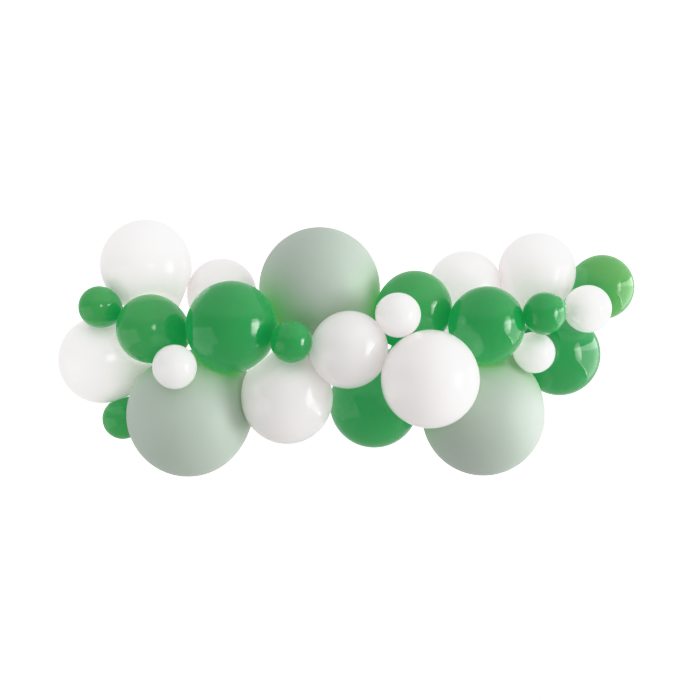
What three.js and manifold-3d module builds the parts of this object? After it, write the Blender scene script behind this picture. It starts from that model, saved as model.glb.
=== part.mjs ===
// Balloon garland: a long row of tied latex balloons in three sizes, pressed together against a wall.
// Millimetres, +Z up. The wall is the plane y = 0, and the garland is looked at from the -Y side.
// The origin is the middle of the flat spot where the central large balloon presses on the wall.

import * as THREE from 'three';
import { mergeVertices } from 'three/addons/utils/BufferGeometryUtils.js';
import Module from 'manifold-3d';

// How far balloons give where they press, as shares of the smaller radius, and the gap left between them
const CONTACT_PRESS = 0.05;
const WALL_PRESS = 0.03;
const CONTACT_GAP = 0.3;

// Body shape: a round crown and a longer, tapering half towards the neck, as shares of the radius
const NECK_HALF_LENGTH = 1.25;
const NECK_HALF_TAPER = 0.15;

// The cone that draws the body out into the neck: root and rim below the body's tip, as shares of the radius
const CONE_ROOT_DEPTH = 0.2;
const CONE_RIM_DEPTH = 0.06;
const CONE_RIM_RADIUS = 0.15;

// Where the neck is thinnest, knotted and pinched before its rolled lip, as shares of its length
const NECK_WAIST = 0.35;
const KNOT_MIDDLE = 0.55;
const LIP_PINCH = 0.72;
const NECK_SIDES = 6;

const SMALL_NECK = { length: 26, neckRadius: 4, knotRadius: 6, lipRadius: 8 };
const FULL_NECK = { length: 40, neckRadius: 5.5, knotRadius: 8.5, lipRadius: 11 };

// The room kept round every neck, and how many directions are tried for each
const NECK_CLEARANCE = 2.5;
const NECK_DIRECTIONS = 1500;

// The line that the knots gather round, hidden at the middle of the garland's thickness
const KNOT_LINE = new THREE.Line3(
  new THREE.Vector3(-450, -190, -170),
  new THREE.Vector3(650, -190, -170),
);

const WHITE = { color: 0xf2efee, roughness: 0.35, metalness: 0 };
const GREEN = { color: 0x26904a, roughness: 0.18, metalness: 0 };
const SAGE = { color: 0xb2c1b3, roughness: 0.5, metalness: 0 };

// What each kind of balloon is made of, and how finely its body is faceted
const KINDS = {
  small_white_balloon: { latex: WHITE, neck: SMALL_NECK, sides: 12, rings: 7 },
  small_green_balloon: { latex: GREEN, neck: SMALL_NECK, sides: 12, rings: 7 },
  white_balloon: { latex: WHITE, neck: FULL_NECK, sides: 16, rings: 9 },
  green_balloon: { latex: GREEN, neck: FULL_NECK, sides: 16, rings: 9 },
  large_sage_balloon: { latex: SAGE, neck: FULL_NECK, sides: 20, rings: 11 },
};

// The garland from the wall outwards. Across and up are measured from the origin. Each balloon rests back
// against those listed before it or on the wall, or stands off the wall by at least the length given.
const GARLAND = [
  { name: 'small_green_balloon_2', across: -583, up: -386, diameter: 120, standOff: 66 },
  { name: 'green_balloon_7', across: 840, up: 5, diameter: 190 },
  { name: 'white_balloon_3', across: -292, up: -15, diameter: 205 },
  { name: 'white_balloon_7', across: 432, up: -1, diameter: 222 },
  { name: 'green_balloon_6', across: 710, up: -195, diameter: 241 },
  { name: 'green_balloon_3', across: 160, up: -336, diameter: 260, standOff: 80 },
  { name: 'large_sage_balloon_2', across: 0, up: 0, diameter: 352 },
  { name: 'large_sage_balloon_1', across: -379, up: -371, diameter: 352, standOff: 30 },
  { name: 'large_sage_balloon_3', across: 480, up: -372, diameter: 354 },
  { name: 'white_balloon_2', across: -515, up: 69, diameter: 261, standOff: 15 },
  { name: 'white_balloon_1', across: -644, up: -211, diameter: 255 },
  { name: 'white_balloon_8', across: 644, up: 50, diameter: 225 },
  { name: 'white_balloon_4', across: -91, up: -320, diameter: 260 },
  { name: 'green_balloon_1', across: -486, up: -121, diameter: 197 },
  { name: 'small_green_balloon_1', across: -639, up: -57, diameter: 119 },
  { name: 'green_balloon_4', across: 277, up: -61, diameter: 214 },
  { name: 'green_balloon_2', across: -249, up: -116, diameter: 258 },
  { name: 'small_white_balloon_3', across: 621, up: -190, diameter: 117 },
  { name: 'green_balloon_5', across: 480, up: -111, diameter: 219 },
  { name: 'white_balloon_5', across: 87, up: -181, diameter: 217 },
  { name: 'small_white_balloon_4', across: 780, up: -63, diameter: 136 },
  { name: 'small_green_balloon_4', across: 641, up: -79, diameter: 120 },
  { name: 'small_green_balloon_3', across: -75, up: -160, diameter: 117 },
  { name: 'small_white_balloon_1', across: -400, up: -230, diameter: 123 },
  { name: 'small_white_balloon_2', across: 225, up: -85, diameter: 125 },
  { name: 'white_balloon_6', across: 314, up: -265, diameter: 272 },
];

// The way the neck points on balloons that are seen from the side or would show it. The rest of the necks
// point at the knot line.
const NECK_TOWARDS = {
  white_balloon_1: [1, -0.1, 0.1],
  white_balloon_2: [0.5, -0.1, -0.87],
  white_balloon_4: [0.15, 0.5, 0.85],
  white_balloon_7: [-0.35, 0.1, -0.93],
  white_balloon_8: [0, -0.1, -1],
  green_balloon_1: [0.88, 0.35, -0.32],
  green_balloon_3: [0.35, 0.1, 0.93],
  green_balloon_4: [-0.45, 0.2, -0.87],
  green_balloon_7: [-1, 0.15, -0.15],
  large_sage_balloon_1: [0.66, 0.38, 0.65],
  small_white_balloon_2: [0.2, 0.97, 0.1],
  small_white_balloon_3: [-0.7, 0.7, 0.1],
  small_white_balloon_4: [-0.2, 0.9, -0.4],
  small_green_balloon_2: [0.3, 0.45, 0.84],
  small_green_balloon_3: [0, 0.95, -0.2],
  small_green_balloon_4: [0.62, 0.7, 0.3],
};

const LATHE_AXIS = new THREE.Vector3(0, 1, 0);
const WALL_NORMAL = new THREE.Vector3(0, 1, 0);

const wasm = await Module();
wasm.setup();

// Works out how far each balloon stands from the wall, resting it on those already placed
function settle(row) {
  const placed = [];
  for (const { name, across, up, diameter, standOff = 0 } of row) {
    const radius = diameter / 2;
    let depth = radius * (1 - WALL_PRESS) + standOff;
    for (const other of placed) {
      const reach = radius + other.radius - CONTACT_PRESS * Math.min(radius, other.radius);
      const apart = Math.hypot(across - other.centre.x, up - other.centre.z);
      if (apart < reach) {
        depth = Math.max(depth, Math.sqrt(reach ** 2 - apart ** 2) - other.centre.y);
      }
    }
    const kind = KINDS[name.replace(/_\d+$/, '')];
    const centre = new THREE.Vector3(across, -depth, up);
    placed.push({ name, kind, radius, centre, neckWish: neckWish(name, centre) });
  }
  return placed;
}

// The way a neck would point if nothing stood there
function neckWish(name, centre) {
  if (name in NECK_TOWARDS) {
    return new THREE.Vector3(...NECK_TOWARDS[name]).normalize();
  }
  const nearest = KNOT_LINE.closestPointToPoint(centre, true, new THREE.Vector3());
  return nearest.sub(centre).normalize();
}

// Evenly spread unit vectors, along a spiral from pole to pole
function spiralDirections(count) {
  const goldenAngle = Math.PI * (3 - Math.sqrt(5));
  return Array.from({ length: count }, (_, step) => {
    const height = 1 - (2 * step + 1) / count;
    const breadth = Math.sqrt(1 - height ** 2);
    const turn = goldenAngle * step;
    return new THREE.Vector3(breadth * Math.cos(turn), breadth * Math.sin(turn), height);
  });
}

// The neck's outline past the body's tip, as pairs of radius and distance from the balloon's centre
function neckOutline({ radius, kind }) {
  const { length, neckRadius, knotRadius, lipRadius } = kind.neck;
  const tip = radius * NECK_HALF_LENGTH;
  return [
    [neckRadius, tip + NECK_WAIST * length],
    [knotRadius, tip + KNOT_MIDDLE * length],
    [neckRadius, tip + LIP_PINCH * length],
    [lipRadius, tip + length],
  ];
}

// Points down the middle of a neck along axis, each with the room that the neck needs there
function neckSpots(balloon, axis) {
  return neckOutline(balloon).map(([across, along]) => ({
    point: axis.clone().multiplyScalar(along).add(balloon.centre),
    room: across + NECK_CLEARANCE,
  }));
}

// Whether a spot lies clear of a balloon's body whose neck points along axis
function clearOfBody({ point, room }, balloon, axis) {
  const outward = point.clone().sub(balloon.centre);
  const alongNeck = Math.max(0, outward.clone().normalize().dot(axis));
  const reach = balloon.radius * (1 + (NECK_HALF_LENGTH - 1) * alongNeck ** 2);
  return outward.length() > reach + room;
}

// Whether two necks lie clear of each other
function necksAreClear(spots, otherSpots) {
  return spots.every(({ point, room }) => otherSpots.every(
    (other) => point.distanceTo(other.point) > room + other.room,
  ));
}

// Whether a balloon with its neck along axis keeps clear of the wall, the other bodies and their necks
function neckIsClear(balloon, axis, row) {
  const spots = neckSpots(balloon, axis);
  if (!spots.every(({ point, room }) => point.y < -room)) {
    return false;
  }
  return row.every((other) => {
    if (other === balloon) {
      return true;
    }
    if (!other.neckAxis) {
      return spots.every((spot) => clearOfBody(spot, other, other.neckWish));
    }
    const otherSpots = neckSpots(other, other.neckAxis);
    return spots.every((spot) => clearOfBody(spot, other, other.neckAxis))
      && otherSpots.every((spot) => clearOfBody(spot, balloon, axis))
      && necksAreClear(spots, otherSpots);
  });
}

// Turns each neck to the clear direction that is nearest to the one it would like
function aimNecks(row) {
  const directions = spiralDirections(NECK_DIRECTIONS);
  for (const balloon of row) {
    const nearestFirst = [balloon.neckWish, ...directions].sort(
      (a, b) => b.dot(balloon.neckWish) - a.dot(balloon.neckWish),
    );
    balloon.neckAxis = nearestFirst.find((axis) => neckIsClear(balloon, axis, row));
    if (!balloon.neckAxis) {
      throw new Error(`${balloon.name} has no room for its neck`);
    }
  }
}

// A closed solid turned from pairs of radius and height
function turnedSolid(outline, sides) {
  const profile = outline.map(([across, along]) => new THREE.Vector2(across, along));
  const geometry = new THREE.LatheGeometry(profile, sides);
  geometry.deleteAttribute('normal');
  geometry.deleteAttribute('uv');
  const merged = mergeVertices(geometry);
  const index = merged.index.array;
  const triangles = [];
  for (let first = 0; first < index.length; first += 3) {
    const [a, b, c] = index.slice(first, first + 3);
    if (a !== b && b !== c && c !== a) {
      triangles.push(a, b, c);
    }
  }
  return new wasm.Manifold(new wasm.Mesh({
    numProp: 3,
    vertProperties: new Float32Array(merged.attributes.position.array),
    triVerts: new Uint32Array(triangles),
  }));
}

// A three.js geometry from a closed solid
function geometryFrom(solid) {
  const { vertProperties, triVerts } = solid.getMesh();
  const geometry = new THREE.BufferGeometry();
  geometry.setAttribute('position', new THREE.BufferAttribute(new Float32Array(vertProperties), 3));
  geometry.setIndex(new THREE.BufferAttribute(new Uint32Array(triVerts), 1));
  geometry.computeVertexNormals();
  return geometry;
}

// The inflated body, crown down and neck up the lathe's axis
function bodySolid({ radius, kind }) {
  const outline = [[0, -radius]];
  for (let ring = 1; ring < kind.rings; ring += 1) {
    const angle = Math.PI * (ring / kind.rings - 0.5);
    const rise = Math.sin(angle);
    const neckwards = Math.max(0, rise);
    const across = Math.cos(angle) * (1 - NECK_HALF_TAPER * neckwards ** 2);
    const along = rise + (NECK_HALF_LENGTH - 1) * neckwards;
    outline.push([radius * across, radius * along]);
  }
  outline.push([0, radius * NECK_HALF_LENGTH]);
  return turnedSolid(outline, kind.sides);
}

// The drawn-out neck, rooted in the body, with its knot and its rolled lip
function neckSolid(balloon) {
  const { radius } = balloon;
  const bodyTip = radius * NECK_HALF_LENGTH;
  const beyond = neckOutline(balloon);
  const [, end] = beyond.at(-1);
  const outline = [
    [0, bodyTip - CONE_ROOT_DEPTH * radius],
    [CONE_RIM_RADIUS * radius, bodyTip - CONE_RIM_DEPTH * radius],
    ...beyond,
    [0, end],
  ];
  return turnedSolid(outline, NECK_SIDES);
}

// Cuts off what lies further than offset from the solid's own origin, in a direction of the garland
function pressFlat(solid, turn, outward, offset) {
  const kept = outward.clone().applyQuaternion(turn.clone().invert()).negate();
  return solid.trimByPlane(kept.toArray(), -offset);
}

// One balloon, pressed flat against the wall and against each balloon that it meets
function balloonMesh(balloon, row) {
  const { name, kind, radius, centre, neckAxis } = balloon;
  const turn = new THREE.Quaternion().setFromUnitVectors(LATHE_AXIS, neckAxis);
  const longest = NECK_HALF_LENGTH * radius;
  let body = bodySolid(balloon);
  if (-centre.y < longest) {
    body = pressFlat(body, turn, WALL_NORMAL, -centre.y);
  }
  for (const other of row) {
    const away = other.centre.clone().sub(centre);
    const apart = away.length();
    if (other !== balloon && apart < longest + NECK_HALF_LENGTH * other.radius) {
      const meeting = (apart ** 2 + radius ** 2 - other.radius ** 2) / (2 * apart);
      body = pressFlat(body, turn, away.normalize(), meeting - CONTACT_GAP / 2);
    }
  }
  const geometry = geometryFrom(body.add(neckSolid(balloon)));
  const mesh = new THREE.Mesh(geometry, new THREE.MeshStandardMaterial(kind.latex));
  mesh.name = name;
  mesh.position.copy(centre);
  mesh.quaternion.copy(turn);
  return mesh;
}

const balloons = settle(GARLAND);
aimNecks(balloons);

const garland = new THREE.Group();
garland.name = 'balloon_garland';
for (const balloon of balloons) {
  garland.add(balloonMesh(balloon, balloons));
}

export default garland;
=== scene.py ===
"""Dresses a garland of tied latex balloons and sets up the studio that shows it.

Every balloon is measured on its solid, then turned from a pear-shaped profile with a drawn-out neck, a knot
and a rolled lip, and pressed soft and flat where it meets the wall and its neighbours.
"""

import math
import random
from typing import NamedTuple

import bmesh
import bpy
import numpy as np
from bpy.props import FloatProperty, FloatVectorProperty, IntProperty, PointerProperty
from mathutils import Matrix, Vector


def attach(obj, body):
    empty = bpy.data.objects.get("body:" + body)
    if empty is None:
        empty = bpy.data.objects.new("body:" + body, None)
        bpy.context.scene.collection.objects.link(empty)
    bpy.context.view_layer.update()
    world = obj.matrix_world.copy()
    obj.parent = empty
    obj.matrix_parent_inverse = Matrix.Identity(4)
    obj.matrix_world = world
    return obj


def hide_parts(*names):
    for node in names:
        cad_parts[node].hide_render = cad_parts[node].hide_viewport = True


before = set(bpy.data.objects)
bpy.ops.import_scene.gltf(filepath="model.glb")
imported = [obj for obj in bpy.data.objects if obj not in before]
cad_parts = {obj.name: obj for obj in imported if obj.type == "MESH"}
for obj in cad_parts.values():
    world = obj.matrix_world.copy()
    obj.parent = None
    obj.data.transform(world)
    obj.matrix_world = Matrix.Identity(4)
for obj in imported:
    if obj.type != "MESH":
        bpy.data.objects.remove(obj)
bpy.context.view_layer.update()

bl_info = {
    "name": "Balloon Garland",
    "version": (1, 0, 0),
    "blender": (4, 5, 0),
    "location": "3D View > Sidebar > Garland",
    "description": "Makes the latex balloons of a wall garland and the studio that shows them",
    "category": "Add Mesh",
}

BODY = "root"

# The wall that the garland hangs on, as the direction into it and its place along that direction
WALL_NORMAL = Vector((0, 1, 0))
WALL_PLACE = 0.0

# Body shape: a round crown and a longer, tapering half towards the neck, as shares of the radius
NECK_HALF_LENGTH = 1.25
NECK_HALF_TAPER = 0.15
# How far round from its widest place the body goes before it is drawn out into the neck
SHOULDER_ANGLE = math.radians(66)
# The skin swells a little past its solid, so that neighbours leave fewer gaps
FULLNESS = 1.012

# Places along the neck, as shares of its length past the body's tip
NECK_WAIST = 0.35
KNOT_END = 0.72
LIP_BEAD = 0.16
MOUTH_DEPTH = 0.22

# A solid's lip has at least this many corners, alike in their distance from the crown within so many metres
LIP_CORNERS = 6
LIP_TOLERANCE = 0.0004
MERGE_DISTANCE = 0.00001


class Neck(NamedTuple):
    """The tied end of a balloon, in metres."""

    length: float
    neck_radius: float
    knot_radius: float
    lip_radius: float


SMALL_NECK = Neck(0.026, 0.004, 0.006, 0.008)
FULL_NECK = Neck(0.040, 0.0055, 0.0085, 0.011)


class Balloon(NamedTuple):
    """One balloon's place and size, measured on its solid."""

    node: str
    centre: Vector
    radius: float
    neck_axis: Vector


def kind_of(node):
    """A node's name without its number."""
    return node.rstrip("_0123456789")


def neck_of(node):
    """The neck of a balloon of this name's size."""
    return SMALL_NECK if node.startswith("small") else FULL_NECK


def farthest(points, start):
    """The points that lie farthest from start, alike within the lip's tolerance."""
    reach = np.linalg.norm(points - start, axis=1)
    return points[reach > reach.max() - LIP_TOLERANCE]


def measure(node):
    """Finds a balloon's crown and lip on its solid, and from them its centre, radius and neck axis.

    The solid's corners crowd round the neck, so the corner farthest from their middle is on the crown. The
    one farthest from that is on the lip, and the crown's tip is the one farthest from there. The radius that
    is given is the swollen skin's.
    """
    corners = np.array([vertex.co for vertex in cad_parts[node].data.vertices], float)
    points = np.unique(corners.round(6), axis=0)
    on_crown = farthest(points, points.mean(axis=0))[0]
    on_lip = farthest(points, on_crown)[0]
    crown = farthest(points, on_lip)[0]
    lip = farthest(points, crown)
    if len(lip) < LIP_CORNERS:
        raise RuntimeError(f"the lip of {node} can't be told from its crown")
    whole = Vector(lip.mean(axis=0) - crown)
    radius = (whole.length - neck_of(node).length) / (1 + NECK_HALF_LENGTH)
    axis = whole.normalized()
    return Balloon(node, Vector(crown) + axis * radius, radius * FULLNESS, axis)


BALLOONS = [measure(node) for node in sorted(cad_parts)]


class GarlandShape(bpy.types.PropertyGroup):
    """How the latex gives, folds and is faceted."""

    contact_gap: FloatProperty(
        name="Contact gap",
        description="Gap left between the skins of balloons that touch",
        default=0.0003,
        unit="LENGTH",
    )
    contact_softness: FloatProperty(
        name="Contact softness",
        description="How gently a skin bends into a flat spot, as a share of the balloon's radius",
        default=0.012,
    )
    lopsidedness: FloatProperty(
        name="Lopsidedness",
        description="How far a balloon is out of round, as a share of its radius",
        default=0.005,
    )
    pleats: IntProperty(
        name="Pleats",
        description="Folds round the gathered neck",
        default=7,
    )
    pleat_depth: FloatProperty(
        name="Pleat depth",
        description="Depth of the folds at the waist of the neck, as a share of its radius",
        default=0.2,
    )
    full_steps: IntProperty(
        name="Steps round a full balloon",
        description="Facets round the larger balloons",
        default=112,
    )
    small_steps: IntProperty(
        name="Steps round a small balloon",
        description="Facets round the small balloons",
        default=80,
    )


class LatexColours(bpy.types.PropertyGroup):
    """The colours of the latex, as the stretched skin and as the thick rubber at the neck, with a painted
    backlit green and a painted shaded sage.
    """

    white: FloatVectorProperty(
        name="White",
        description="Pearly white skin",
        subtype="COLOR",
        default=(0.885, 0.832, 0.832),
    )
    white_thick: FloatVectorProperty(
        name="White neck",
        description="Unstretched white rubber",
        subtype="COLOR",
        default=(0.82, 0.79, 0.76),
    )
    green: FloatVectorProperty(
        name="Green",
        description="Leaf green skin",
        subtype="COLOR",
        default=(0.003, 0.22, 0.053),
    )
    # Painted backlight: the green painted paler where the balloon stands for being lit from behind; its
    # cloudy patches also lean to it
    green_pale: FloatVectorProperty(
        name="Pale green",
        description="Leaf green skin where light shines through it",
        subtype="COLOR",
        default=(0.17, 0.36, 0.1),
    )
    green_thick: FloatVectorProperty(
        name="Green neck",
        description="Unstretched green rubber",
        subtype="COLOR",
        default=(0.004, 0.14, 0.035),
    )
    sage: FloatVectorProperty(
        name="Sage",
        description="Chalky sage skin",
        subtype="COLOR",
        default=(0.535, 0.618, 0.546),
    )
    # Painted shade: the sage painted darker and greener where other balloons crowd it
    sage_shaded: FloatVectorProperty(
        name="Shaded sage",
        description="The sage skin where other balloons crowd it",
        subtype="COLOR",
        default=(0.47, 0.6, 0.465),
    )
    sage_thick: FloatVectorProperty(
        name="Sage neck",
        description="Unstretched sage rubber",
        subtype="COLOR",
        default=(0.36, 0.45, 0.37),
    )


class StudioSetup(bpy.types.PropertyGroup):
    """The room's brightness, its lights and the camera."""

    view_distance: FloatProperty(
        name="Camera distance",
        description="From the camera to the middle of the garland's thickness",
        default=5.0,
        unit="LENGTH",
    )
    view_width: FloatProperty(
        name="View width",
        description="Width that the picture takes in at the middle of the garland's thickness",
        default=2.03,
        unit="LENGTH",
    )
    view_centre: FloatVectorProperty(
        name="View centre",
        description="The point that the camera looks at",
        subtype="TRANSLATION",
        default=(0.0893, -0.23, -0.1826),
    )
    window_light: FloatProperty(
        name="Window",
        description="Brightness of the window on the right",
        default=2.8,
    )
    pane_light: FloatProperty(
        name="Pane",
        description="Brightness of the sunlit pane on the right, along its middle",
        default=8.5,
    )
    screen_light: FloatProperty(
        name="Screen",
        description="Brightness of the white screen below the window",
        default=1.35,
    )
    sill_light: FloatProperty(
        name="Sill",
        description="Brightness of the strip along the foot of the screen",
        default=6.0,
    )
    lamp_light: FloatProperty(
        name="Lamp",
        description="Brightness of the narrow lamp by the left end, along its middle",
        default=7.0,
    )
    reflector_light: FloatProperty(
        name="Reflector",
        description="Brightness of the reflector low on the left",
        default=0.5,
    )
    ceiling: FloatProperty(
        name="Ceiling",
        description="Brightness of the room above",
        default=0.95,
    )
    front: FloatProperty(
        name="Front",
        description="Brightness of the room behind the camera",
        default=0.54,
    )
    ground: FloatProperty(
        name="Ground",
        description="Brightness of the room below",
        default=0.56,
    )
    back: FloatProperty(
        name="Back",
        description="Brightness of the room behind the garland",
        default=0.8,
    )
    slant: FloatProperty(
        name="Slant",
        description="How much brighter the room is on the right and dimmer on the left",
        default=0.22,
    )


class Signal:
    """A socket that takes part in arithmetic: every operator adds a Math node."""

    def __init__(self, sheet, socket):
        self.sheet = sheet
        self.socket = socket

    def combine(self, operation, first, second):
        return self.sheet.add("ShaderNodeMath", {"operation": operation}, {0: first, 1: second})

    def __add__(self, other):
        return self.combine("ADD", self, other)

    def __radd__(self, other):
        return self.combine("ADD", other, self)

    def __sub__(self, other):
        return self.combine("SUBTRACT", self, other)

    def __rsub__(self, other):
        return self.combine("SUBTRACT", other, self)

    def __mul__(self, other):
        return self.combine("MULTIPLY", self, other)

    def __rmul__(self, other):
        return self.combine("MULTIPLY", other, self)


# The sockets of a Mix node that mixes colours, by their numbers
MIX_FACTOR = 0
MIX_FIRST = 6
MIX_SECOND = 7
MIX_RESULT = 2


class NodeSheet:
    """The node tree of a material or a world, filled by one method."""

    def __init__(self, tree):
        self.tree = tree
        tree.nodes.clear()

    def add(self, kind, settings=None, inputs=None, output=0):
        """Adds a node, sets it, feeds its sockets and returns one of its outputs as a signal."""
        node = self.tree.nodes.new(kind)
        for name, value in (settings or {}).items():
            setattr(node, name, value)
        for name, value in (inputs or {}).items():
            if isinstance(value, Signal):
                self.tree.links.new(value.socket, node.inputs[name])
            else:
                node.inputs[name].default_value = value
        return Signal(self, node.outputs[output]) if node.outputs else None

    def mix_colours(self, factor, first, second):
        """One colour passing into another."""
        inputs = {MIX_FACTOR: factor, MIX_FIRST: first, MIX_SECOND: second}
        return self.add("ShaderNodeMix", {"data_type": "RGBA"}, inputs, output=MIX_RESULT)

    def rise(self, signal, low, high):
        """A smooth rise from 0 to 1 while the signal goes from low to high."""
        settings = {"interpolation_type": "SMOOTHSTEP"}
        inputs = {"Value": signal, "From Min": low, "From Max": high}
        return self.add("ShaderNodeMapRange", settings, inputs)

    def noise(self, scale, detail):
        """Soft noise in the garland's own space, scale patches to the metre."""
        place = self.add("ShaderNodeTexCoord", output="Object")
        inputs = {"Vector": place, "Scale": scale, "Detail": detail}
        return self.add("ShaderNodeTexNoise", None, inputs)


def opaque(colour):
    """A colour with its alpha."""
    return (*colour, 1.0)


class LatexLook(NamedTuple):
    """How a kind of latex takes the light.

    The skin is painted to its pale colour as painted backlight where the balloon stands for being lit from
    behind, to its shaded colour as painted shade where neighbours crowd it, and has its thick colour at the
    neck. Light goes on inside the skin as far as scatter_reach. The emission is painted light that makes the
    skin glow: own_light all over, through_light as painted backlight, inner_light in the crevices where
    neighbours crowd it, and green_light as a painted green bounce where the neighbour is green.
    """

    skin: tuple
    pale: tuple
    shaded: tuple
    thick: tuple
    roughness: float
    gloss: float
    scatter_reach: tuple
    own_light: tuple
    through_light: tuple
    inner_light: tuple
    green_light: tuple


# Patches to the metre of the cloudy colour, the powdery sheen and the slow ripples
CLOUD_SCALE = 14.0
SHEEN_SCALE = 9.0
RIPPLE_SCALE = 16.0
# How finely the patches break up
CLOUD_DETAIL = 2.0
SMOOTH_DETAIL = 1.0
# How far they change the colour and the roughness, and how high the ripples are in metres
CLOUD_STRENGTH = 0.06
SHEEN_STRENGTH = 0.04
RIPPLE_HEIGHT = 0.0006


def latex_material(name, look):
    """Stretched latex: cloudy colour, thicker and darker at the neck, powdery sheen and slow ripples, with
    painted backlight, painted shade and a painted glow.
    """
    material = bpy.data.materials.new(name)
    material.use_nodes = True
    sheet = NodeSheet(material.node_tree)
    thickness = sheet.add("ShaderNodeAttribute", {"attribute_name": "thickness"}, output="Fac")
    painted_backlight = sheet.add("ShaderNodeAttribute", {"attribute_name": "painted_backlight"}, output="Fac")
    cloud = sheet.noise(CLOUD_SCALE, CLOUD_DETAIL)
    sheen = sheet.noise(SHEEN_SCALE, SMOOTH_DETAIL)
    ripple = sheet.noise(RIPPLE_SCALE, SMOOTH_DETAIL)
    crowding = sheet.add("ShaderNodeAttribute", {"attribute_name": "crowding"}, output="Fac")
    painted_green_bounce = sheet.add("ShaderNodeAttribute", {"attribute_name": "painted_green_bounce"}, output="Fac")
    # Painted backlight: the skin painted towards its pale colour where the balloon stands for being lit from
    # behind
    skin = sheet.mix_colours(painted_backlight, opaque(look.skin), opaque(look.pale))
    skin = sheet.mix_colours(cloud * CLOUD_STRENGTH, skin, opaque(look.pale))
    # Painted shade: the skin painted to its shaded colour where neighbours crowd it
    skin = sheet.mix_colours(crowding, skin, opaque(look.shaded))
    colour = sheet.mix_colours(thickness, skin, opaque(look.thick))
    roughness = look.roughness + sheen * SHEEN_STRENGTH
    # Painted light: an emitted glow all over, stronger where backlit, in the crevices between neighbours and
    # green beside green balloons
    glow = sheet.mix_colours(painted_backlight, opaque(look.own_light), opaque(look.through_light))
    glow = sheet.mix_colours(crowding, glow, opaque(look.inner_light))
    glow = sheet.mix_colours(painted_green_bounce, glow, opaque(look.green_light))
    normal = sheet.add("ShaderNodeBump", None, {"Distance": RIPPLE_HEIGHT, "Height": ripple})
    surface = sheet.add(
        "ShaderNodeBsdfPrincipled",
        {"subsurface_method": "RANDOM_WALK"},
        {
            "Base Color": colour,
            "Roughness": roughness,
            "Specular IOR Level": look.gloss,
            "Normal": normal,
            "Subsurface Weight": 1.0,
            "Subsurface Radius": look.scatter_reach,
            "Subsurface Scale": 1.0,
            "Emission Color": glow,
            "Emission Strength": 1.0,
        },
    )
    sheet.add("ShaderNodeOutputMaterial", None, {"Surface": surface})
    return material


def body_profile(radius, rings):
    """Points from the crown to the shoulder, as pairs of radius and height along the neck axis."""
    points = []
    for ring in range(rings + 1):
        angle = -math.pi / 2 + (SHOULDER_ANGLE + math.pi / 2) * ring / rings
        rise = math.sin(angle)
        neckwards = max(0.0, rise)
        across = math.cos(angle) * (1 - NECK_HALF_TAPER * neckwards**2)
        along = rise + (NECK_HALF_LENGTH - 1) * neckwards
        points.append((radius * across, radius * along))
    return points


def drawn_out(start, before, waist, steps):
    """Points that leave the shoulder in line with the body and come into the neck along its axis."""
    start = Vector(start)
    leaving = (start - Vector(before)).normalized()
    waist = Vector(waist)
    span = (waist - start).length
    points = []
    for step in range(1, steps + 1):
        t = step / steps
        place = start * (1 + 2 * t) * (1 - t) ** 2
        place += leaving * span * t * (1 - t) ** 2
        place += waist * t**2 * (3 - 2 * t)
        place += Vector((0, 1)) * span * t**2 * (t - 1)
        points.append(tuple(place))
    return points


def tied_profile(tip, neck, steps):
    """Points along the knot, the flaring tail, its rolled lip and the shallow mouth inside it."""
    waist = tip + NECK_WAIST * neck.length
    knot_end = tip + KNOT_END * neck.length
    bead = LIP_BEAD * neck.lip_radius
    lip = tip + neck.length - bead
    points = []
    for step in range(1, steps + 1):
        t = step / steps
        swell = math.sin(math.pi * t) ** 2
        across = neck.neck_radius + (neck.knot_radius - neck.neck_radius) * swell
        points.append((across, waist + (knot_end - waist) * t))
    for step in range(1, steps + 1):
        t = step / steps
        across = neck.neck_radius + (neck.lip_radius - 2 * bead - neck.neck_radius) * t**2
        points.append((across, knot_end + (lip - bead - knot_end) * t))
    for step in range(steps):
        angle = math.pi * (-0.5 + 1.5 * step / steps)
        across = neck.lip_radius - bead + bead * math.cos(angle)
        points.append((across, lip + bead * math.sin(angle)))
    for step in range(1, steps + 1):
        t = step / steps
        across = (neck.lip_radius - 2 * bead) * (1 - t)
        points.append((across, lip - MOUTH_DEPTH * neck.length * math.sin(math.pi / 2 * t)))
    return points


def spun(profile, steps):
    """A closed surface of revolution round the Z axis."""
    mesh = bmesh.new()
    corners = [mesh.verts.new((across, 0, along)) for across, along in profile]
    edges = [mesh.edges.new(pair) for pair in zip(corners, corners[1:])]
    bmesh.ops.spin(
        mesh,
        geom=corners + edges,
        cent=(0, 0, 0),
        axis=(0, 0, 1),
        angle=2 * math.pi,
        steps=steps,
        use_merge=True,
    )
    bmesh.ops.remove_doubles(mesh, verts=mesh.verts, dist=MERGE_DISTANCE)
    bmesh.ops.recalc_face_normals(mesh, faces=mesh.faces)
    return mesh


def eased(value, low, high):
    """A smooth rise from 0 at low to 1 at high."""
    t = min(1.0, max(0.0, (value - low) / (high - low)))
    return t * t * (3 - 2 * t)


# The rubber gathers from this share of the body's tip on
GATHER_FROM = 0.75
# How far the gathered rubber turns round its axis in the length of the neck
NECK_TWIST = 2.4
# Wider creases between the pleats, and their depth as a share of the pleats'
CREASES = 4
CREASE_DEPTH = 0.5
# How far the knot sits to one side and its ridges stand out, as shares of its radius
KNOT_LOPSIDE = 0.3
KNOT_RIDGE = 0.2
# How fast the ridges wind along the knot, in radians to the metre
KNOT_WINDING = 300.0
# The latex is thicker towards the neck, from this share of the radius on
THICK_FROM = 0.95


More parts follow.
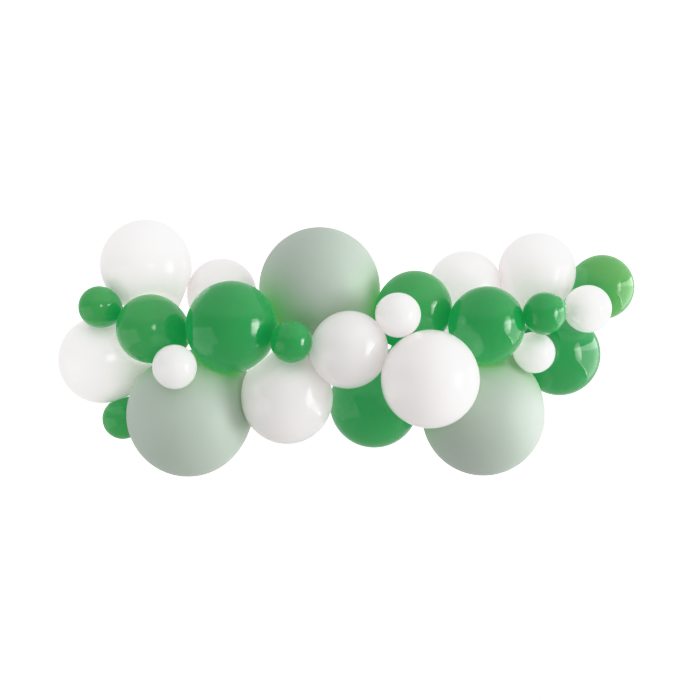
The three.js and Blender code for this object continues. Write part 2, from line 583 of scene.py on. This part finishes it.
def fold_neck(mesh, balloon, neck, shape, chance):
    """Puts a balloon slightly out of round, pleats its neck and winds its knot."""
    radius = balloon.radius
    tip = radius * NECK_HALF_LENGTH
    waist = tip + NECK_WAIST * neck.length
    knot_end = tip + KNOT_END * neck.length
    lopside_turn = chance.uniform(0, math.tau)
    pleat_turn = chance.uniform(0, math.tau)
    knot_turn = chance.uniform(0, math.tau)
    knot_aside = Vector((math.cos(knot_turn), math.sin(knot_turn), 0)) * KNOT_LOPSIDE * neck.knot_radius
    thickness = mesh.verts.layers.float.new("thickness")
    for corner in mesh.verts:
        along = corner.co.z
        turn = math.atan2(corner.co.y, corner.co.x)
        gathered = eased(along, GATHER_FROM * tip, waist)
        twisted = turn + NECK_TWIST * max(0.0, along - waist) / neck.length
        fold = math.cos(shape.pleats * twisted + pleat_turn)
        fold += CREASE_DEPTH * math.cos(CREASES * twisted - lopside_turn)
        swell = eased(along, waist, (waist + knot_end) / 2) - eased(along, (waist + knot_end) / 2, knot_end)
        widen = 1 + shape.lopsidedness * math.cos(2 * turn + lopside_turn) * (1 - gathered)
        widen += shape.pleat_depth * gathered**3 * (1 - swell) * fold / (1 + CREASE_DEPTH)
        widen += KNOT_RIDGE * swell * math.cos(2 * turn + knot_turn + KNOT_WINDING * (along - waist))
        corner.co.x *= widen
        corner.co.y *= widen
        corner.co += knot_aside * swell
        corner[thickness] = eased(along / radius, THICK_FROM, NECK_HALF_LENGTH)


def contact_planes(balloon, gap):
    """The wall and the planes midway to the neighbours, as outward directions with their distances."""
    planes = [(WALL_NORMAL, WALL_PLACE - balloon.centre.dot(WALL_NORMAL))]
    for other in BALLOONS:
        away = other.centre - balloon.centre
        apart = away.length
        if other is not balloon and apart < NECK_HALF_LENGTH * (balloon.radius + other.radius):
            meeting = (apart**2 + balloon.radius**2 - other.radius**2) / (2 * apart)
            planes.append((away.normalized(), meeting - gap / 2))
    return planes


def press_flat(mesh, planes, softness):
    """Presses a skin soft and flat against planes round its own centre."""
    for corner in mesh.verts:
        for outward, distance in planes:
            beyond = corner.co.dot(outward) - distance
            if beyond >= softness:
                corner.co -= outward * beyond
            elif beyond > -softness:
                corner.co -= outward * (beyond + softness) ** 2 / (4 * softness)


# Painted backlight: how far each balloon's skin is painted paler and made to glow, standing in for light
# shining through it from behind; those at the ends and along the top have more
PAINTED_BACKLIGHT = {
    "white_balloon_1": 0.6,
    "white_balloon_2": 0.5,
    "white_balloon_3": 0.3,
    "white_balloon_7": 0.42,
    "white_balloon_8": 0.42,
    "small_white_balloon_2": 0.1,
    "small_white_balloon_3": 0.2,
    "small_white_balloon_4": 0.4,
    "green_balloon_1": 0.12,
    "green_balloon_4": 0.15,
    "green_balloon_7": 0.65,
    "small_green_balloon_1": 0.15,
    "small_green_balloon_2": 0.12,
    "large_sage_balloon_1": 1.0,
    "large_sage_balloon_2": 1.0,
    "large_sage_balloon_3": 0.3,
}

# How far a balloon reaches with the painted shade and crevice glow, and a green one with the painted green
# bounce, on the skin beside it, in metres
CROWDING_REACH = 0.075


def crowd(mesh, neighbours):
    """How much each corner of a skin is crowded by these neighbours, from 0 to 1."""
    places = np.array([corner.co for corner in mesh.verts])
    outward = np.array([corner.normal for corner in mesh.verts])
    crowding = np.zeros(len(places))
    for other in neighbours:
        away = np.array(other.centre) - places
        apart = np.linalg.norm(away, axis=1)
        facing = np.clip((away * outward).sum(axis=1) / apart, 0, 1)
        gap = np.clip(apart - other.radius, 0, None)
        crowding += facing * np.exp(-gap / CROWDING_REACH)
    return np.clip(crowding, 0, 1)


def mark_crowding(mesh, balloon):
    """Stores how much all neighbours, and the full-size green ones, crowd each corner of a skin: the masks
    of its painted shade and crevice glow, and of its painted green bounce.
    """
    neighbours = [other for other in BALLOONS if other is not balloon]
    green_ones = [other for other in neighbours if other.node.startswith("green")]
    amounts = {"crowding": crowd(mesh, neighbours), "painted_green_bounce": crowd(mesh, green_ones)}
    for name, values in amounts.items():
        layer = mesh.verts.layers.float.new(name)
        for corner, value in zip(mesh.verts, values):
            corner[layer] = value


# Facets along a body, along its drawn-out end and along each stretch of its tied end
FULL_RINGS = 44
SMALL_RINGS = 32
DRAWN_OUT_STEPS = 14
TIED_STEPS = 8


def balloon_piece(balloon, material, shape):
    """Makes one balloon's skin in place of its solid."""
    small = balloon.node.startswith("small")
    neck = neck_of(balloon.node)
    chance = random.Random(balloon.node)
    tip = balloon.radius * NECK_HALF_LENGTH
    profile = body_profile(balloon.radius, SMALL_RINGS if small else FULL_RINGS)
    waist = (neck.neck_radius, tip + NECK_WAIST * neck.length)
    profile += drawn_out(profile[-1], profile[-2], waist, DRAWN_OUT_STEPS)
    profile += tied_profile(tip, neck, TIED_STEPS)
    mesh = spun(profile, shape.small_steps if small else shape.full_steps)
    fold_neck(mesh, balloon, neck, shape, chance)
    # Painted backlight: the balloon's share of painted paleness and glow, the same at every corner
    painted_backlight = mesh.verts.layers.float.new("painted_backlight")
    for corner in mesh.verts:
        corner[painted_backlight] = PAINTED_BACKLIGHT.get(balloon.node, 0.0)
    turn = balloon.neck_axis.to_track_quat("Z", "Y").to_matrix()
    bmesh.ops.rotate(mesh, verts=mesh.verts, cent=(0, 0, 0), matrix=turn)
    press_flat(mesh, contact_planes(balloon, shape.contact_gap), shape.contact_softness * balloon.radius)
    bmesh.ops.translate(mesh, verts=mesh.verts, vec=balloon.centre)
    mesh.normal_update()
    mark_crowding(mesh, balloon)
    for face in mesh.faces:
        face.smooth = True
    data = bpy.data.meshes.new(f"{balloon.node}_latex")
    mesh.to_mesh(data)
    mesh.free()
    data.materials.append(material)
    piece = bpy.data.objects.new(data.name, data)
    bpy.context.scene.collection.objects.link(piece)
    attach(piece, BODY)
    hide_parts(balloon.node)


def make_kind(context, kind, material):
    """Makes every balloon of one kind, and raises an error where the frame has none."""
    row = [balloon for balloon in BALLOONS if kind_of(balloon.node) == kind]
    if not row:
        raise RuntimeError(f"the frame has no {kind}")
    for balloon in row:
        balloon_piece(balloon, material, context.scene.garland_shape)
    return {"FINISHED"}


def white_latex(colours):
    """Satin, faintly pearly white."""
    name = "pearly white latex"
    look = LatexLook(
        skin=colours.white,
        pale=colours.white,
        shaded=colours.white,
        thick=colours.white_thick,
        roughness=0.13,
        gloss=0.9,
        scatter_reach=(0.25, 0.25, 0.25),
        # Painted light: the white skin glows all over, more where backlit, in crevices and beside green
        # balloons
        own_light=(0.14, 0.131, 0.132),
        through_light=(0.5, 0.468, 0.47),
        inner_light=(0.08, 0.075, 0.075),
        green_light=(0.54, 0.41, 0.48),
    )
    return bpy.data.materials.get(name) or latex_material(name, look)


def green_latex(colours):
    """Glossy leaf green."""
    name = "glossy green latex"
    look = LatexLook(
        skin=colours.green,
        pale=colours.green_pale,
        shaded=colours.green,
        thick=colours.green_thick,
        roughness=0.05,
        gloss=0.65,
        scatter_reach=(0.02, 0.12, 0.04),
        # Painted light: the green skin glows all over, more where backlit, in crevices and beside green
        # balloons
        own_light=(0.005, 0.132, 0.026),
        through_light=(0.03, 0.17, 0.03),
        inner_light=(0.006, 0.145, 0.034),
        green_light=(0.006, 0.145, 0.034),
    )
    return bpy.data.materials.get(name) or latex_material(name, look)


def sage_latex(colours):
    """Chalky, matt sage."""
    name = "chalky sage latex"
    look = LatexLook(
        skin=colours.sage,
        pale=colours.sage,
        # Painted shade where neighbours crowd the skin
        shaded=colours.sage_shaded,
        thick=colours.sage_thick,
        roughness=0.5,
        gloss=0.8,
        scatter_reach=(0.05, 0.06, 0.05),
        # Painted light: the sage skin glows where backlit, a little in crevices and green beside green
        # balloons
        own_light=(0.0, 0.0, 0.0),
        through_light=(0.045, 0.055, 0.045),
        inner_light=(0.0, 0.02, 0.0),
        green_light=(0.05, 0.18, 0.035),
    )
    return bpy.data.materials.get(name) or latex_material(name, look)


class GARLAND_OT_large_sage_balloons(bpy.types.Operator):
    """Make the large sage balloons"""

    bl_idname = "garland.large_sage_balloons"
    bl_label = "Large Sage Balloons"

    def execute(self, context):
        material = sage_latex(context.scene.garland_colours)
        return make_kind(context, "large_sage_balloon", material)


class GARLAND_OT_white_balloons(bpy.types.Operator):
    """Make the mid-size white balloons"""

    bl_idname = "garland.white_balloons"
    bl_label = "White Balloons"

    def execute(self, context):
        material = white_latex(context.scene.garland_colours)
        return make_kind(context, "white_balloon", material)


class GARLAND_OT_green_balloons(bpy.types.Operator):
    """Make the mid-size green balloons"""

    bl_idname = "garland.green_balloons"
    bl_label = "Green Balloons"

    def execute(self, context):
        material = green_latex(context.scene.garland_colours)
        return make_kind(context, "green_balloon", material)


class GARLAND_OT_small_white_balloons(bpy.types.Operator):
    """Make the small white balloons"""

    bl_idname = "garland.small_white_balloons"
    bl_label = "Small White Balloons"

    def execute(self, context):
        material = white_latex(context.scene.garland_colours)
        return make_kind(context, "small_white_balloon", material)


class GARLAND_OT_small_green_balloons(bpy.types.Operator):
    """Make the small green balloons"""

    bl_idname = "garland.small_green_balloons"
    bl_label = "Small Green Balloons"

    def execute(self, context):
        material = green_latex(context.scene.garland_colours)
        return make_kind(context, "small_green_balloon", material)


class LightPanel(NamedTuple):
    """A rectangle of light: its middle, the way it faces, its size and how wide its light spreads."""

    name: str
    middle: tuple
    facing: tuple
    width: float
    height: float
    spread: float = math.pi


# Where the window, with the screen and the sill under it, stands on the right, and the way it faces
WINDOW_PLACE = (4.43, -1.46)
WINDOW_FACING = (-0.92, -0.39, 0)
WINDOW = LightPanel("window", (*WINDOW_PLACE, 0.45), WINDOW_FACING, 7.5, 0.6)
SCREEN = LightPanel("screen", (*WINDOW_PLACE, -0.97), WINDOW_FACING, 7.5, 2.25)
SILL = LightPanel("sill", (*WINDOW_PLACE, -2.1), WINDOW_FACING, 5.0, 0.18)
PANE = LightPanel("pane", (2.03, -1.33, -0.1), (-0.94, 0.342, 0), 0.9, 1.4, math.radians(48))
LAMP = LightPanel("lamp", (-0.3, -1.06, -0.13), (-0.342, 0.94, -0.08), 0.3, 0.45, math.radians(24))
REFLECTOR = LightPanel("reflector", (-3.0, -1.0, -1.3), (0.85, 0.25, 0.45), 4.0, 2.5)

# The heights and the depth of a direction between which the room's ceiling, ground and back come in
CEILING_RISE = (0.2, 0.6)
GROUND_RISE = (-0.3, -0.8)
BACK_RISE = (0.0, 0.5)

FLOOR_HEIGHT = -1.9
FLOOR_RADIUS = 2.6
FLOOR_STEPS = 96
FLOOR_COLOUR = (0.62, 0.61, 0.6, 1.0)
FLOOR_ROUGHNESS = 0.7
SENSOR_WIDTH = 36.0
PAPER_WHITE = (1.0, 1.0, 1.0, 1.0)

# Scene brightness and picture brightness at the bends of the tone curve, which is the one for all colours
TONE_CURVE = ((0.5, 0.5), (0.82, 0.82), (1.0, 0.925), (1.25, 0.965))
COMBINED_CURVE = 3
# The scene brightness that prints as white
PRINTS_WHITE = 1.6


def light_panel(panel, brightness):
    """An area light with the given brightness along its middle, where a narrow spread gathers its light."""
    half_spread = panel.spread / 2
    gathered = math.tan(half_spread) / (math.tan(half_spread) - half_spread)
    lamp = bpy.data.lights.new(panel.name, "AREA")
    lamp.shape = "RECTANGLE"
    lamp.size = panel.width
    lamp.size_y = panel.height
    lamp.spread = panel.spread
    lamp.energy = math.pi * panel.width * panel.height * brightness / gathered
    holder = bpy.data.objects.new(panel.name, lamp)
    holder.location = panel.middle
    holder.rotation_euler = Vector(panel.facing).to_track_quat("-Z", "Y").to_euler()
    holder.visible_camera = False
    bpy.context.scene.collection.objects.link(holder)


def studio_world(setup):
    """A room that is brightest above and to the right and dim behind the camera, on a white backdrop."""
    world = bpy.data.worlds.new("studio room")
    world.use_nodes = True
    sheet = NodeSheet(world.node_tree)
    direction = sheet.add("ShaderNodeTexCoord", output="Generated")
    across = sheet.add("ShaderNodeSeparateXYZ", None, {"Vector": direction}, output="X")
    depth = sheet.add("ShaderNodeSeparateXYZ", None, {"Vector": direction}, output="Y")
    height = sheet.add("ShaderNodeSeparateXYZ", None, {"Vector": direction}, output="Z")
    above = sheet.rise(height, *CEILING_RISE)
    below = sheet.rise(height, *GROUND_RISE)
    behind = sheet.rise(depth, *BACK_RISE)
    level = setup.front + above * (setup.ceiling - setup.front) + below * (setup.ground - setup.front)
    level = level * (1 - behind) + behind * setup.back
    level = level * (1 + across * setup.slant)
    room = sheet.add("ShaderNodeBackground", None, {"Strength": level})
    backdrop = sheet.add("ShaderNodeBackground", None, {"Color": PAPER_WHITE, "Strength": PRINTS_WHITE})
    seen = sheet.add("ShaderNodeLightPath", output="Is Camera Ray")
    shown = sheet.add("ShaderNodeMixShader", None, {0: seen, 1: room, 2: backdrop})
    sheet.add("ShaderNodeOutputWorld", None, {"Surface": shown})
    bpy.context.scene.world = world


def pale_floor():
    """A plain pale disc well below the garland."""
    mesh = bmesh.new()
    bmesh.ops.create_circle(mesh, cap_ends=True, radius=FLOOR_RADIUS, segments=FLOOR_STEPS)
    bmesh.ops.translate(mesh, verts=mesh.verts, vec=(0, 0, FLOOR_HEIGHT))
    data = bpy.data.meshes.new("floor")
    mesh.to_mesh(data)
    mesh.free()
    material = bpy.data.materials.new("pale floor")
    material.use_nodes = True
    sheet = NodeSheet(material.node_tree)
    paint = {"Base Color": FLOOR_COLOUR, "Roughness": FLOOR_ROUGHNESS}
    surface = sheet.add("ShaderNodeBsdfPrincipled", None, paint)
    sheet.add("ShaderNodeOutputMaterial", None, {"Surface": surface})
    data.materials.append(material)
    floor = bpy.data.objects.new("floor", data)
    bpy.context.scene.collection.objects.link(floor)


def studio_camera(setup):
    """A long lens that looks square on at the wall."""
    camera = bpy.data.cameras.new("camera")
    camera.sensor_width = SENSOR_WIDTH
    camera.lens = SENSOR_WIDTH * setup.view_distance / setup.view_width
    holder = bpy.data.objects.new("camera", camera)
    holder.location = Vector(setup.view_centre) - WALL_NORMAL * setup.view_distance
    holder.rotation_euler = WALL_NORMAL.to_track_quat("-Z", "Z").to_euler()
    bpy.context.scene.collection.objects.link(holder)
    bpy.context.scene.camera = holder


def soften_highlights(view):
    """Lets the brightest tones roll off, as in a photograph."""
    view.view_transform = "Standard"
    view.use_curve_mapping = True
    mapping = view.curve_mapping
    mapping.clip_max_x = PRINTS_WHITE
    curve = mapping.curves[COMBINED_CURVE]
    curve.points[1].location = (PRINTS_WHITE, 1.0)
    for bend in TONE_CURVE:
        curve.points.new(*bend)
    mapping.update()


class GARLAND_OT_studio(bpy.types.Operator):
    """Make the floor, the lights, the room and the camera"""

    bl_idname = "garland.studio"
    bl_label = "Studio"

    def execute(self, context):
        setup = context.scene.garland_studio
        soften_highlights(context.scene.view_settings)
        pale_floor()
        studio_world(setup)
        light_panel(WINDOW, setup.window_light)
        light_panel(PANE, setup.pane_light)
        light_panel(SCREEN, setup.screen_light)
        light_panel(SILL, setup.sill_light)
        light_panel(LAMP, setup.lamp_light)
        light_panel(REFLECTOR, setup.reflector_light)
        studio_camera(setup)
        return {"FINISHED"}


MAKERS = (
    GARLAND_OT_studio,
    GARLAND_OT_large_sage_balloons,
    GARLAND_OT_white_balloons,
    GARLAND_OT_green_balloons,
    GARLAND_OT_small_white_balloons,
    GARLAND_OT_small_green_balloons,
)


class GARLAND_PT_sidebar(bpy.types.Panel):
    """Lists the garland's makers in the sidebar"""

    bl_idname = "GARLAND_PT_sidebar"
    bl_label = "Balloon Garland"
    bl_space_type = "VIEW_3D"
    bl_region_type = "UI"
    bl_category = "Garland"

    def draw(self, context):
        for maker in MAKERS:
            self.layout.operator(maker.bl_idname)


CLASSES = (GarlandShape, LatexColours, StudioSetup, *MAKERS, GARLAND_PT_sidebar)


def register():
    for kind in CLASSES:
        bpy.utils.register_class(kind)
    bpy.types.Scene.garland_shape = PointerProperty(type=GarlandShape)
    bpy.types.Scene.garland_colours = PointerProperty(type=LatexColours)
    bpy.types.Scene.garland_studio = PointerProperty(type=StudioSetup)


def unregister():
    del bpy.types.Scene.garland_studio
    del bpy.types.Scene.garland_colours
    del bpy.types.Scene.garland_shape
    for kind in reversed(CLASSES):
        bpy.utils.unregister_class(kind)


def main():
    register()
    bpy.ops.garland.studio()
    bpy.ops.garland.large_sage_balloons()
    bpy.ops.garland.white_balloons()
    bpy.ops.garland.green_balloons()
    bpy.ops.garland.small_white_balloons()
    bpy.ops.garland.small_green_balloons()


if __name__ == "__main__":
    main()
